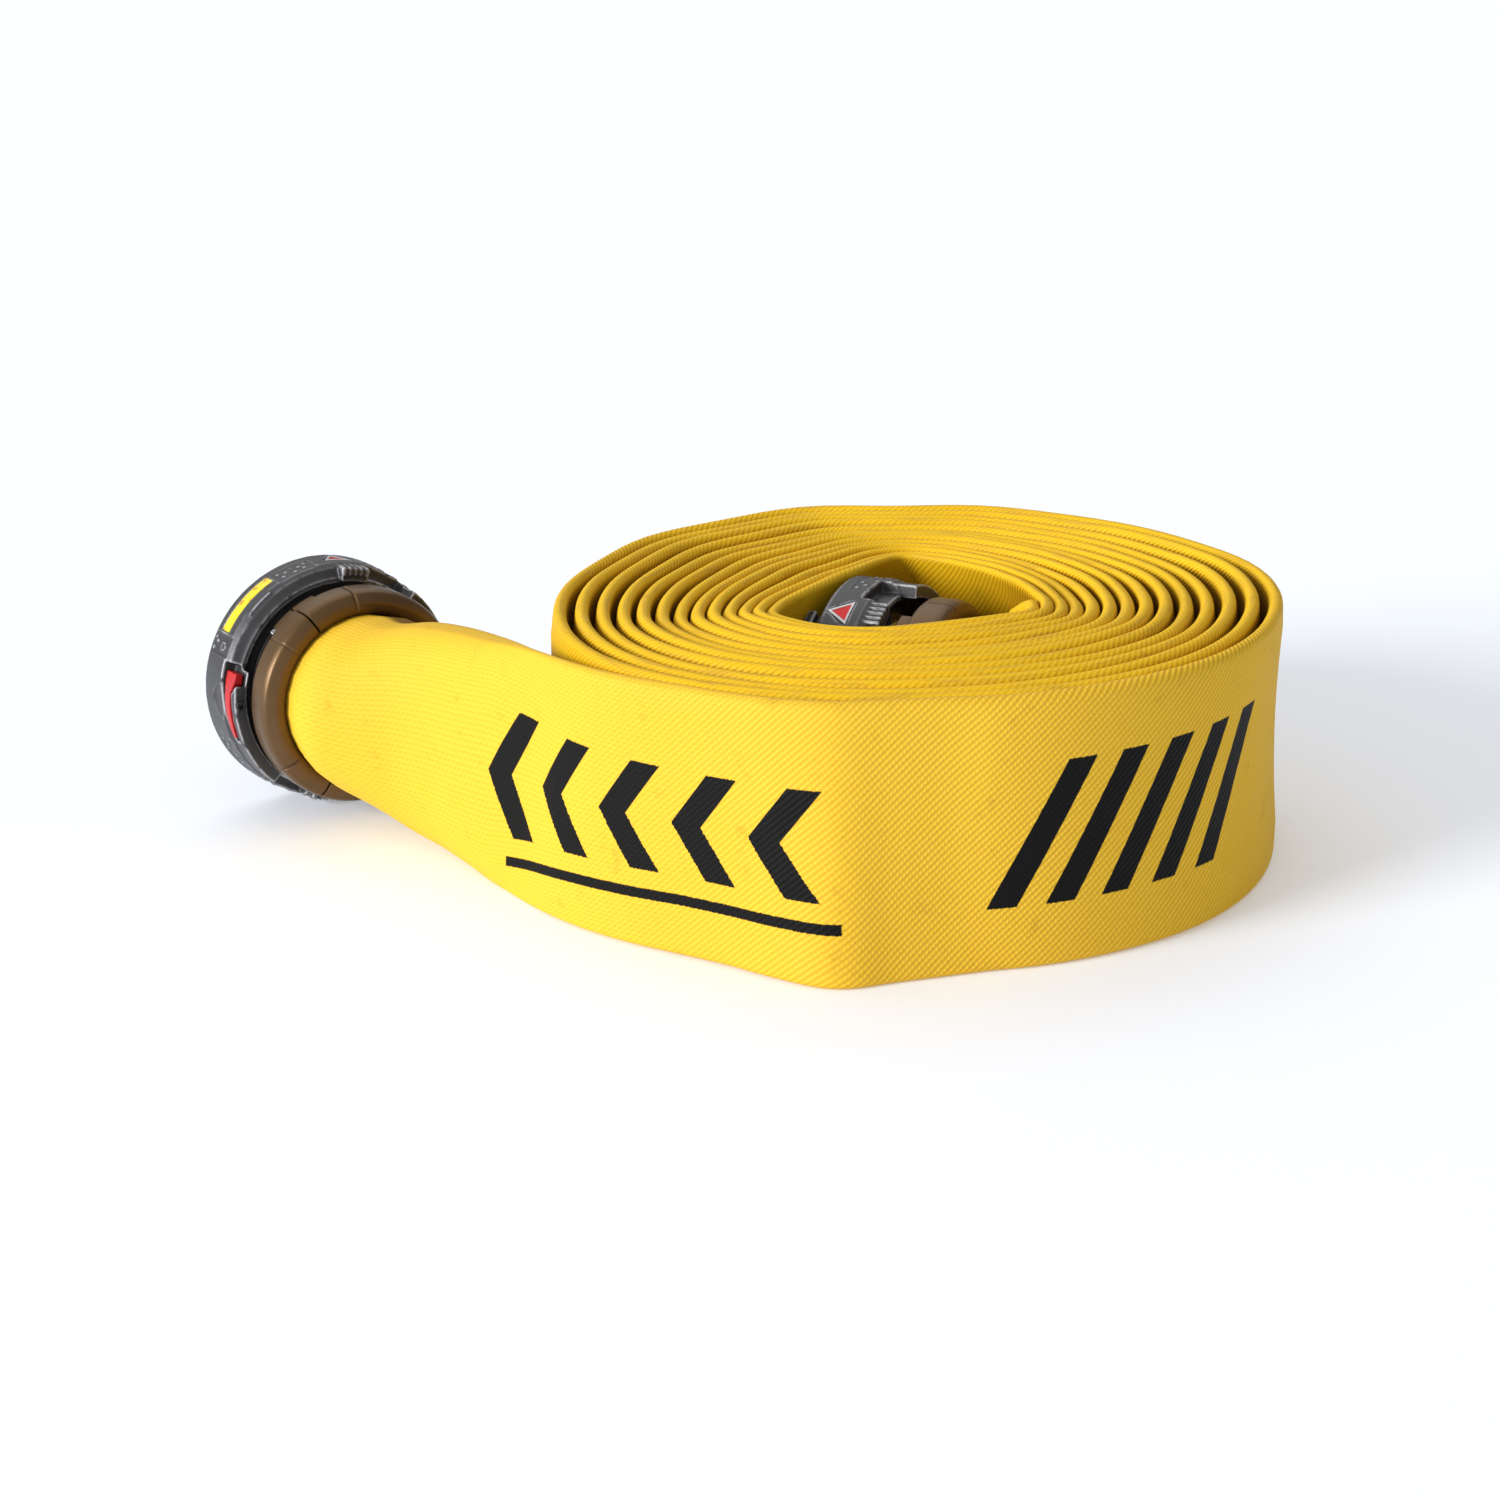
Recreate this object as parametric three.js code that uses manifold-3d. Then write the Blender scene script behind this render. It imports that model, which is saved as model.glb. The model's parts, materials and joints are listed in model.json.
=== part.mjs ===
// Rolled lay-flat fire hose with a quarter-turn swivel coupling on each end.
// Units are millimetres, +Z is up, and the floor is z = 0.
import * as THREE from 'three';
import { mergeVertices } from 'three/addons/utils/BufferGeometryUtils.js';
import Module from 'manifold-3d';

const wasm = await Module();
wasm.setup();

// ---- Hose ----
const HOSE_WIDTH = 168;          // lay-flat width, which is the height of the roll
const FLAT_THICKNESS = 10;       // two walls of the hose pressed together
const HOSE_RADIUS = 57;          // outside radius where the hose is held round
const HOSE_BORE = 51.4;          // inside radius of the hose on its shank
const TOUCH_GAP = 0.3;           // between pieces that touch

// ---- Coupling: u runs along its axis, from the mating face to the hose ----
const RIM_RADIUS = 82.5;
const AXIS_HEIGHT = 82.8;
const HEAD_LENGTH = 35.5;
const FACE_PLATE = 7;            // thickness of the slotted mating plate
const CLAW_REACH = 14;           // how far the claws stand out of the face
const WATERWAY_RADIUS = 48;
const SHANK_RADIUS = 51;
const SHANK_END = 96;
const SLEEVE_START = 40;         // where the hose end stops on the shank
const SLEEVE_END = 98;           // where the hose leaves the shank
const EAR_END = 46;              // rear of the ears that carry the lock levers
const LEVER_ANGLE = 88.5;        // clock angle of the first lever's pivot, degrees
const PIVOT_RADIUS = 77;
const COLLAR_START = 53.5;
const COLLAR_END = 78.5;
const COLLAR_RADIUS = 76;
const COLLAR_SPLITS = [30, 150, 270];
const BOSS_U = 50;               // mid-plane of the collar's bolt bosses
const BOLT_RING = 66;            // distance of a bolt's middle from the axis
const O_RING_U = 22.5;
const SIDES = 30;                // facets round every turned piece

// ---- Layout in plan, measured from the middle of the roll ----
const OUTER_FACE = new THREE.Vector2(-405, 140);
const OUTER_YAW = -56.8;
const INNER_FACE = new THREE.Vector2(-42, 44);
const INNER_YAW = -25;
const INNER_HEAD_TURN = 38;      // how far the inner swivel head stands turned, degrees

const COLOURS = {
  hose: 0xf2c61c,
  casting: 0x58585c,
  shank: 0xa8a9ac,
  collar: 0x7c6244,
  lever: 0xc8100f,
  strip: 0xf6e017,
  rubber: 0x1b1b1c,
  nylon: 0xe6e2d4,
  steel: 0x8d8f92,
};
const FINISHES = {
  hose: { roughness: 0.55, metalness: 0 },
  casting: { roughness: 0.42, metalness: 0.7 },
  shank: { roughness: 0.35, metalness: 0.9 },
  collar: { roughness: 0.45, metalness: 0.6 },
  lever: { roughness: 0.4, metalness: 0.1 },
  strip: { roughness: 0.35, metalness: 0 },
  rubber: { roughness: 0.8, metalness: 0 },
  nylon: { roughness: 0.5, metalness: 0 },
  steel: { roughness: 0.3, metalness: 1 },
};

const rad = THREE.MathUtils.degToRad;

function part(name, geometry, look) {
  geometry.computeVertexNormals();
  const material = new THREE.MeshStandardMaterial({ color: COLOURS[look], ...FINISHES[look] });
  const mesh = new THREE.Mesh(geometry, material);
  mesh.name = name;
  return mesh;
}

// ---- Joins and cuts ----

function solid(geometry) {
  const bare = geometry.clone();
  bare.deleteAttribute('normal');
  bare.deleteAttribute('uv');
  const merged = mergeVertices(bare, 1e-4);
  const vertProperties = new Float32Array(merged.attributes.position.array);
  const triVerts = new Uint32Array(merged.index.array);
  return new wasm.Manifold(new wasm.Mesh({ numProp: 3, vertProperties, triVerts }));
}

function surface(body) {
  const mesh = body.getMesh();
  const geometry = new THREE.BufferGeometry();
  geometry.setAttribute('position', new THREE.BufferAttribute(new Float32Array(mesh.vertProperties), 3));
  geometry.setIndex(new THREE.BufferAttribute(new Uint32Array(mesh.triVerts), 1));
  return geometry;
}

// ---- Shapes in the coupling's own frame: x is 12 o'clock, z is u ----

// A ring turned about the axis from a closed outline of [radius, u] points.
function turned(outline, sides = SIDES) {
  const points = outline.map(([r, u]) => new THREE.Vector2(r, u));
  if (THREE.ShapeUtils.isClockWise(points)) {
    points.reverse();
  }
  points.push(points[0].clone());
  return new THREE.LatheGeometry(points, sides).rotateX(Math.PI / 2);
}

// A bar bent round the axis: each station is [clock angle, r0, r1, u0, u1].
function arcBar(stations) {
  const positions = [];
  for (const [angle, r0, r1, u0, u1] of stations) {
    const c = Math.cos(rad(angle));
    const s = Math.sin(rad(angle));
    for (const [r, u] of [[r0, u0], [r0, u1], [r1, u1], [r1, u0]]) {
      positions.push(r * c, r * s, u);
    }
  }
  return loft(positions, 4);
}

// A closed skin over rings of points; each ring turns anticlockwise seen from the next ring.
function loft(positions, ringSize) {
  const rings = positions.length / 3 / ringSize;
  const index = [];
  for (let ring = 0; ring + 1 < rings; ring += 1) {
    for (let k = 0; k < ringSize; k += 1) {
      const a = ring * ringSize + k;
      const b = ring * ringSize + (k + 1) % ringSize;
      index.push(a, b, b + ringSize, a, b + ringSize, a + ringSize);
    }
  }
  const last = (rings - 1) * ringSize;
  for (let k = 1; k + 1 < ringSize; k += 1) {
    index.push(0, k + 1, k);
    index.push(last, last + k, last + k + 1);
  }
  const geometry = new THREE.BufferGeometry();
  geometry.setAttribute('position', new THREE.Float32BufferAttribute(positions, 3));
  geometry.setIndex(index);
  return geometry;
}

// Even stations of a bar with one section from angle a0 to a1.
function evenBar(a0, a1, r0, r1, u0, u1, step = 10) {
  const count = Math.max(1, Math.ceil((a1 - a0) / step));
  const stations = [];
  for (let k = 0; k <= count; k += 1) {
    stations.push([a0 + (a1 - a0) * k / count, r0, r1, u0, u1]);
  }
  return arcBar(stations);
}

// A solid pin along z from [radius, u] steps, closed on its own axis.
function pin(steps, sides = 10) {
  const outline = [[0, steps[0][1]], ...steps, [0, steps[steps.length - 1][1]]];
  const points = outline.map(([r, u]) => new THREE.Vector2(r, u));
  return new THREE.LatheGeometry(points, sides).rotateX(Math.PI / 2);
}

// Moves a piece made on the axis out to a clock angle and distance.
function moveOut(geometry, angle, distance) {
  return geometry.translate(distance * Math.cos(rad(angle)), distance * Math.sin(rad(angle)), 0);
}

const pinAt = (angle, distance, steps) => moveOut(pin(steps), angle, distance);

const bothSides = [0, 180];

// ---- Swivel head: slotted plate, two claws, rim, web, lever ears and stop lugs ----

function headGeometry() {
  let head = solid(turned([
    [60, 0], [60, FACE_PLATE], [76, FACE_PLATE], [76, 19], [56.5, 19], [56.5, 27], [64, 27],
    [70.5, 33], [70.5, HEAD_LENGTH], [75, HEAD_LENGTH], [80, 32], [RIM_RADIUS, 27],
    [RIM_RADIUS, 2.5], [80.5, 0],
  ]));
  for (const turn of bothSides) {
    head = head.add(solid(evenBar(71 + turn, 135 + turn, 71.8, 80.5, 26, EAR_END)));
    head = head.subtract(solid(evenBar(-44.5 + turn, -21 + turn, 70, 90, 22, 40)));
    head = head.add(solid(evenBar(-20 + turn, -5 + turn, 71.8, 80.5, 26, 41)));
    head = head.subtract(solid(evenBar(30 + turn, 62 + turn, 62, 74.5, -1, FACE_PLATE + 1)));
    head = head.subtract(solid(evenBar(60 + turn, 112 + turn, 62, 69, -1, FACE_PLATE + 1)));
    head = head.add(solid(evenBar(-16 + turn, 16 + turn, 62.5, 68, -CLAW_REACH, 3)));
    head = head.add(solid(evenBar(-16 + turn, 16 + turn, 62.5, 73.5, -CLAW_REACH, -8)));
    head = head.subtract(solid(leverPocket(turn)));
    head = head.subtract(solid(pinAt(LEVER_ANGLE + turn, PIVOT_RADIUS, [[2.4, 24], [2.4, EAR_END + 2]])));
    head = head.subtract(solid(evenBar(24.6 + turn, 57.4 + turn, 81.4, 90, 8.7, 19.3, 8.2)));
    head = head.subtract(solid(lockMarkBar(turn, 81.4, 90, 0.4)));
  }
  return surface(head);
}

function leverPocket(turn) {
  return arcBar([
    [70 + turn, 73.2, 90, 27.5, 43.5],
    [80 + turn, 73.2, 90, 27.5, 43.5],
    [89 + turn, 73.2, 90, 28.5, 43.5],
    [99 + turn, 73.2, 90, 31, 43.5],
    [109 + turn, 73.2, 90, 33, 41],
  ]);
}

function leverGeometry(turn) {
  const bar = arcBar([
    [73.5 + turn, 74.6, 79.4, 29, 42.8],
    [80 + turn, 74.2, 79.6, 29.5, 42.8],
    [84 + turn, 74, 80.3, 31, 39.8],
    [92 + turn, 74, 80.8, 32, 39.8],
    [99 + turn, 75.6, 81.2, 33.6, 39.2],
    [106 + turn, 77.2, 81.5, 35.3, 38.6],
  ]);
  const hole = pinAt(LEVER_ANGLE + turn, PIVOT_RADIUS, [[2.5, 24], [2.5, 48]]);
  return surface(solid(bar).subtract(solid(hole)));
}

// The screw's thread ends in the web, and its socket head stands on the ear's rear face.
const SCREW_HEAD = EAR_END + TOUCH_GAP;
const screwSteps = [
  [2.1, 24.3], [2.1, SCREW_HEAD], [3.4, SCREW_HEAD], [3.4, SCREW_HEAD + 2.5],
  [1.6, SCREW_HEAD + 2.5], [1.6, SCREW_HEAD + 0.7],
];
const screwGeometry = (turn) => pinAt(LEVER_ANGLE + turn, PIVOT_RADIUS, screwSteps);

const springOutline = [[2.45, 40.2], [3.2, 40.2], [3.2, 43.1], [2.45, 43.1]];
const springGeometry = (turn) => moveOut(turned(springOutline, 12), LEVER_ANGLE + turn, PIVOT_RADIUS);

const stripGeometry = (turn) => evenBar(25 + turn, 57 + turn, 81.7, RIM_RADIUS - 0.1, 9, 19, 8);

// A three-cornered mark let into the rim, grown by a margin for its recess.
function lockMarkBar(turn, r0, r1, margin) {
  return arcBar([
    [-17 - margin + turn, r0, r1, 17.5 - margin, 19.5 + margin],
    [-10 + turn, r0, r1, 4 - margin, 19.5 + margin],
    [-3 + margin + turn, r0, r1, 17.5 - margin, 19.5 + margin],
  ]);
}

// ---- Shank: the fixed tailpiece inside the head and the hose ----

function shankOutline() {
  const outline = [
    [WATERWAY_RADIUS, SHANK_END], [WATERWAY_RADIUS, 6.5], [59.3, 6.5], [59.3, 15.5], [56, 15.5],
    [56, 20.7], [53.3, 20.7], [53.3, 24.3], [56, 24.3], [56, 27.4], [53.3, 27.4], [53.3, 30.2],
    [56, 30.2], [56, 33], [SHANK_RADIUS - 1, 35],
  ];
  for (const ridge of [44, 60, 76]) {
    outline.push([SHANK_RADIUS - 1, ridge], [SHANK_RADIUS, ridge + 8]);
  }
  outline.push([SHANK_RADIUS - 1, SHANK_END]);
  return outline;
}

const gasketOutline = [
  [49.5, 0.8], [49.5, 6.2], [58.6, 6.2], [58.6, 2], [56.5, -1.2], [51.5, -1.2],
];
const hoseEndOutline = [
  [HOSE_BORE, SLEEVE_START], [HOSE_BORE, SLEEVE_END], [HOSE_RADIUS, SLEEVE_END],
  [HOSE_RADIUS, SLEEVE_START],
];
const swivelRingOutline = [[56.4, 15.8], [56.4, 18.7], [61.5, 18.7], [61.5, 15.8]];
const retainingRingOutline = [[53.7, 27.7], [53.7, 29.9], [60.5, 29.9], [60.5, 27.7]];

// ---- Collar: three segments clamp the hose on the shank ----

function collarSegment(index) {
  const from = COLLAR_SPLITS[index] + 0.5;
  const to = COLLAR_SPLITS[index] + 119.5;
  const ring = solid(turned([
    [57.5, COLLAR_START], [57.5, 76], [60.5, COLLAR_END], [66, COLLAR_END], [73, 75.5],
    [COLLAR_RADIUS, 71], [COLLAR_RADIUS, 57.5], [73, COLLAR_START],
  ]));
  let segment = ring.intersect(solid(evenBar(from, to, 40, 90, 40, 90)));
  for (const [a0, a1] of [[from, from + 13.5], [to - 13.5, to]]) {
    segment = segment.add(solid(evenBar(a0, a1, 60, 71, 46.6, COLLAR_START + 1)));
  }
  for (const split of [COLLAR_SPLITS[index], COLLAR_SPLITS[index] + 120]) {
    segment = segment.subtract(solid(acrossSplit(split, [[2.8, -30], [2.8, 30]])));
  }
  return surface(segment);
}

// A pin lying across a collar split, square to the radius there.
function acrossSplit(angle, steps) {
  const across = pin(steps).rotateX(-Math.PI / 2);
  return across.translate(BOLT_RING, 0, BOSS_U).rotateZ(rad(angle));
}

const boltGeometry = (split) => acrossSplit(
  split, [[2.5, -15.5], [2.5, 17.9], [3.2, 17.9], [3.2, 21], [1.5, 21], [1.5, 19.2]],
);

// ---- A whole coupling ----

function couplingFrame(face, yaw) {
  const axis = new THREE.Vector3(Math.cos(rad(yaw)), Math.sin(rad(yaw)), 0);
  const up = new THREE.Vector3(0, 0, 1);
  const side = new THREE.Vector3().crossVectors(axis, up);
  const matrix = new THREE.Matrix4().makeBasis(up, side, axis);
  return matrix.setPosition(face.x, face.y, AXIS_HEIGHT);
}

// The swivel head and what it carries stand turned about the axis by headTurn degrees.
function coupling(prefix, frame, headTurn) {
  const group = new THREE.Group();
  group.applyMatrix4(frame);
  const swivel = new THREE.Group();
  swivel.rotation.z = rad(headTurn);
  group.add(swivel);
  const put = (name, geometry, look) => group.add(part(`${prefix}_${name}`, geometry, look));
  const carry = (name, geometry, look) => swivel.add(part(`${prefix}_${name}`, geometry, look));
  carry('head', headGeometry(), 'casting');
  put('shank', turned(shankOutline()), 'shank');
  put('hose_end', turned(hoseEndOutline), 'hose');
  put('face_gasket', turned(gasketOutline), 'rubber');
  put('swivel_ring', turned(swivelRingOutline), 'nylon');
  put('retaining_ring', turned(retainingRingOutline), 'steel');
  put('swivel_o_ring', new THREE.TorusGeometry(54.85, 1.2, 5, SIDES).translate(0, 0, O_RING_U), 'rubber');
  bothSides.forEach((turn, k) => {
    carry(`lock_lever_${k + 1}`, leverGeometry(turn), 'lever');
    carry(`lever_screw_${k + 1}`, screwGeometry(turn), 'steel');
    carry(`lever_spring_${k + 1}`, springGeometry(turn), 'steel');
    carry(`reflective_strip_${k + 1}`, stripGeometry(turn), 'strip');
    carry(`lock_mark_${k + 1}`, lockMarkBar(turn, 81.7, RIM_RADIUS - 0.1, 0), 'lever');
  });
  COLLAR_SPLITS.forEach((split, k) => {
    put(`collar_segment_${k + 1}`, collarSegment(k), 'collar');
    put(`collar_bolt_${k + 1}`, boltGeometry(split), 'steel');
  });
  return group;
}

// ---- Hose ----

// Corners of the roll in plan: the outside with the step where the tail leaves, and the eye.
const ROLL_OUTSIDE = [
  [-22, -225], [34, -220], [92, -204], [142, -176], [184, -133], [212, -88], [226, -36], [228, 20],
  [218, 67], [199, 112], [165, 158], [118, 198], [72, 226], [5, 234], [-64, 238], [-104, 220],
  [-140, 196], [-178, 156], [-206, 108], [-224, 50], [-228, -10], [-222, -64], [-200, -112],
  [-164, -152], [-118, -184], [-80, -202], [-45, -213], [-45, -226],
];
const ROLL_EYE = [
  [-95, -25], [-97, -12], [-92, 0], [-76, 20], [-66, 38], [-58, 57], [-49, 80], [-41, 102],
  [-33, 118], [-18, 124], [0, 123], [20, 115], [38, 106], [53, 93], [65, 78], [75, 62], [82, 47],
  [86, 23], [87, 0], [86, -22], [81, -35], [68, -43], [49, -50], [31, -55], [15, -58], [0, -61],
  [-17, -63], [-35, -62], [-55, -56], [-74, -45],
];

function rollGeometry() {
  const outline = new THREE.Shape(ROLL_OUTSIDE.map(([x, y]) => new THREE.Vector2(x, y)));
  outline.holes.push(new THREE.Path(ROLL_EYE.map(([x, y]) => new THREE.Vector2(x, y))));
  return new THREE.ExtrudeGeometry(outline, { depth: HOSE_WIDTH, bevelEnabled: false });
}

// Half thickness of the hose where it stands halfHeight tall, at one girth all along.
function halfThickness(halfHeight) {
  const spare = 2 * (HOSE_RADIUS - 1) ** 2 - halfHeight ** 2;
  return Math.sqrt(Math.max(spare, (FLAT_THICKNESS / 2) ** 2));
}

// The hose between the roll and a coupling; stations are [x, y, z, halfHeight] at its middle.
function hoseRun(stations, frame) {
  const start = new THREE.Vector3().setFromMatrixPosition(frame);
  const axis = new THREE.Vector3().setFromMatrixColumn(frame, 2);
  const path = stations.map(([x, y, z]) => new THREE.Vector3(x, y, z));
  const halves = stations.map(([, , , half]) => [half, halfThickness(half)]);
  path.push(start.clone().addScaledVector(axis, SLEEVE_END + TOUCH_GAP));
  halves.push([HOSE_RADIUS, HOSE_RADIUS]);
  const ringSize = 24;
  const positions = [];
  path.forEach((middle, k) => {
    const ahead = path[Math.min(k + 1, path.length - 1)].clone();
    const along = k + 1 < path.length
      ? ahead.sub(path[Math.max(k - 1, 0)]).setZ(0).normalize()
      : axis.clone().negate();
    const side = new THREE.Vector3(-along.y, along.x, 0);
    const [tall, wide] = halves[k];
    for (let n = 0; n < ringSize; n += 1) {
      const turn = 2 * Math.PI * (n + 0.5) / ringSize;
      const point = middle.clone().addScaledVector(side, wide * Math.cos(turn));
      positions.push(point.x, point.y, point.z + tall * Math.sin(turn));
    }
  });
  return loft(positions, ringSize);
}

const TAIL_STATIONS = [
  [-47.5, -222, 84, 84], [-62, -228, 84, 83.5], [-90, -216, 84, 83], [-119, -197, 83.5, 82.2],
  [-147, -178, 83, 82], [-175, -159, 82.5, 81.7], [-200, -138, 82, 81.3], [-222, -114, 81.5, 80.6],
  [-241, -86, 80.5, 79.5], [-258, -57, 79.5, 78], [-274, -28, 79, 76.5], [-293, -1, 79.5, 74.6],
  [-315, 23, 80.5, 72], [-336, 43, 82, 65],
];
const LEAD_STATIONS = [
  [74, -29.5, 84, 84], [72, -19, 84, 81], [64, -9, 84, 75], [57, -3, 84, 64],
];

const outerFrame = couplingFrame(OUTER_FACE, OUTER_YAW);
const innerFrame = couplingFrame(INNER_FACE, INNER_YAW);
const hose = new THREE.Group();
hose.add(part('hose_roll', rollGeometry(), 'hose'));
hose.add(part('hose_tail', hoseRun(TAIL_STATIONS, outerFrame), 'hose'));
hose.add(part('hose_lead', hoseRun(LEAD_STATIONS, innerFrame), 'hose'));
hose.add(coupling('outer', outerFrame, 0));
hose.add(coupling('inner', innerFrame, INNER_HEAD_TURN));

// The origin is under the middle of the whole object.
hose.updateMatrixWorld(true);
const middle = new THREE.Box3().setFromObject(hose, true).getCenter(new THREE.Vector3());
hose.position.set(-middle.x, -middle.y, 0);

export default hose;
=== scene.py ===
"""Rolled lay-flat fire hose with a quarter-turn swivel coupling on each end."""
import json
import math

import bmesh
import bpy
import numpy as np
from mathutils import Matrix, Vector


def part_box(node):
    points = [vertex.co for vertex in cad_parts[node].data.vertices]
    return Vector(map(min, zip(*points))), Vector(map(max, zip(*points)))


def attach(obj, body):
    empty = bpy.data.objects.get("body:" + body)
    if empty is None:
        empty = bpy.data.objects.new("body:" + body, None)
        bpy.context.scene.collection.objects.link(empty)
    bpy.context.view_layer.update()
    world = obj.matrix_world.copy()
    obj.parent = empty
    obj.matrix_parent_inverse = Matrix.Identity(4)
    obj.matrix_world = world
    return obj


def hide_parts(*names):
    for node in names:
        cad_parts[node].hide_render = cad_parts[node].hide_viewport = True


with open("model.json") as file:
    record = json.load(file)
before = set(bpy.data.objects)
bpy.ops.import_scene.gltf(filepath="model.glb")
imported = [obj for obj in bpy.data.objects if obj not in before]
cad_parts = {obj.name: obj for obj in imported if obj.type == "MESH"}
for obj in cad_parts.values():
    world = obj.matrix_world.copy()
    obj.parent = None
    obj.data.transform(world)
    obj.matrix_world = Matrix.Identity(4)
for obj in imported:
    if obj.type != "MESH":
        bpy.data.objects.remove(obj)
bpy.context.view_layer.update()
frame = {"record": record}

MM = 0.001
JOINTS = {joint["name"]: joint for joint in frame["record"]["behaviour"]["joints"]}

# ---- Where things are: the middle of the roll, and the frame of each coupling ----

ROLL_LEFT, ROLL_FRONT = 228 * MM, 226 * MM      # from the roll's middle to its box
low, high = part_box("hose_roll")
ROLL_X = low[0] + ROLL_LEFT
ROLL_Y = low[1] + ROLL_FRONT
HOSE_WIDTH = high[2] - low[2]


def coupling_frame(end):
    """Matrix of a coupling: x is 12 o'clock and z runs from the mating face to the hose."""
    joint = JOINTS[f"{end}_swivel"]
    axis = Vector(joint["axis"]).normalized()
    up = Vector((0, 0, 1))
    side = axis.cross(up)
    matrix = Matrix((up, side, axis)).transposed().to_4x4()
    matrix.translation = Vector(joint["pos_m"])
    return matrix


FRAMES = {end: coupling_frame(end) for end in ("outer", "inner")}


# ---- Camera ----

CAMERA_PLACE = (-106.6 * MM, -1720.6 * MM, 654.4 * MM)      # from the roll's middle, on the floor
CAMERA_ELEVATION, CAMERA_TILT = math.radians(18.91), math.radians(-1.46)
SENSOR_WIDTH = 36
FOCAL_LENGTH = 1.8775 * SENSOR_WIDTH


def make_camera():
    elevation, tilt = CAMERA_ELEVATION, CAMERA_TILT
    right = Vector((1, 0, 0))
    forward = Vector((0, math.cos(elevation), -math.sin(elevation)))
    up = right.cross(forward)
    x_axis = right * math.cos(tilt) + up * math.sin(tilt)
    y_axis = up * math.cos(tilt) - right * math.sin(tilt)
    matrix = Matrix((x_axis, y_axis, -forward)).transposed().to_4x4()
    matrix.translation = Vector((ROLL_X, ROLL_Y, 0)) + Vector(CAMERA_PLACE)
    data = bpy.data.cameras.new("camera")
    data.sensor_width = SENSOR_WIDTH
    data.lens = FOCAL_LENGTH
    data.clip_start = 0.05
    data.clip_end = 3000
    camera = bpy.data.objects.new("camera", data)
    camera.matrix_world = matrix
    bpy.context.collection.objects.link(camera)
    bpy.context.scene.camera = camera


make_camera()


# ---- Mesh helpers ----

def linked(name, mesh):
    """An object of this mesh in the scene."""
    piece = bpy.data.objects.new(name, mesh)
    bpy.context.collection.objects.link(piece)
    return piece


def make_mesh_object(name, vertices, faces):
    mesh = bpy.data.meshes.new(name)
    mesh.from_pydata([tuple(v) for v in vertices], [], faces)
    mesh.validate()
    mesh.polygons.foreach_set("use_smooth", [True] * len(mesh.polygons))
    return linked(name, mesh)


# ---- The hose's route ----
# Rows of x, y, z, half height, lean, half thickness, fold radius, and how far the top and bottom
# edges lean in over the coupling.

FULL_TURNS = 13
STEPS_PER_TURN = 96
START_ANGLE = -22.0           # where the first turn begins, degrees round the roll
END_ANGLE = -80.7             # where the outermost turn lets go and becomes the tail
TURNS = FULL_TURNS + (START_ANGLE - END_ANGLE) / 360
WALL = 3.3 * MM
ROUND_RADIUS = 56 * MM        # of the hose when it is round
SLEEVE_RADIUS = 56.8 * MM     # of the hose on its shank, under the collar
FLAT_HALF = 83.6 * MM         # half height of a flattened turn
FLAT_THICK = 4.2 * MM         # half thickness of the hose lying flat
TURN_THICK = 6.2 * MM         # most half thickness of a turn in the roll
FLOOR_GAP = 0.2 * MM          # under the roll
FOLD_RADIUS = 5.2 * MM        # of the rounded fold along each edge
# Radii from -90 degrees round the roll, in millimetres: of the last turn's outside, and of the
# first turn's inside without the spiral's growth, at mid-height and along its top and bottom edges.
OUTER_RADII = (222, 223.5, 225.5, 229, 231, 233, 237, 239.5, 236.5, 237.5, 239, 246,
               244.5, 261, 257, 259, 249, 245, 241, 240, 240.5, 237, 230.8, 225)
MIDDLE_RADII = (58.9, 58.7, 61.1, 66.5, 76, 77.8, 78.1, 80.6, 87.3, 92.5, 100.4, 107.9,
                116.5, 110.5, 89, 75.3, 71.7, 74.6, 87.5, 93.9, 83.0, 74.8, 68.1, 63.0)
EDGE_RADII = (57.7, 57.1, 59.7, 65.6, 75, 71.3, 64.5, 62.5, 64.2, 69.6, 76.8, 86.8,
              94.7, 83.4, 67.5, 61.7, 61.0, 66.2, 76.3, 85.4, 79.5, 73.3, 66.9, 61.8)
TIGHTNESS = 0.74              # how evenly the turns are packed; 1 is even
LEAD_STEP, TAIL_STEP = 5 * MM, 7 * MM

# The tail from the roll to the free coupling: x, y, z, half height, lean, from the roll's middle.
TAIL_ROUTE = (
    (5, -219.3, 84, 83.8, 2.2), (-28, -224.2, 84, 83.8, 5.4), (-60, -228, 84, 83.5, 9.5),
    (-90, -216, 84, 83, 6.6), (-119, -197, 83.5, 82.3, 4.6), (-147, -178, 83, 82, 4.9),
    (-175, -159, 82.5, 81.7, 5.5), (-200, -138, 82, 81.3, 6.3), (-222, -114, 81.5, 80.6, 7.6),
    (-241, -86, 80, 79.5, 8.9), (-258, -57, 78.5, 78.1, 8), (-274, -28, 77, 76, 5.9),
    (-293, -1, 77, 74, 3.2), (-315, 23, 77.2, 71, 0.6), (-338, 44, 78.5, 63.5, -0.8),
)
# The lead from the inner coupling to the first turn.
LEAD_ROUTE = ((57, -3, 83, 63.5, 0), (65, -8.5, 83.4, 76, 0), (71.5, -17, 83.6, 82.5, 0))


def loop_radius(radii, angle):
    """Radius at an angle, smooth round a closed loop of evenly spaced radii."""
    place = ((angle + 90) % 360) * len(radii) / 360
    k = int(place)
    around = [np.array(radii[(k + n) % len(radii)]) for n in (-1, 0, 1, 2)]
    return float(catmull(*around, place - k))


def catmull(p0, p1, p2, p3, f):
    """Point at fraction f between p1 and p2 on the smooth curve through four points."""
    cubic = 3 * (p1 - p2) + p3 - p0
    return p1 + 0.5 * f * (p2 - p0 + f * (2 * p0 - 5 * p1 + 4 * p2 - p3 + f * cubic))


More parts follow.
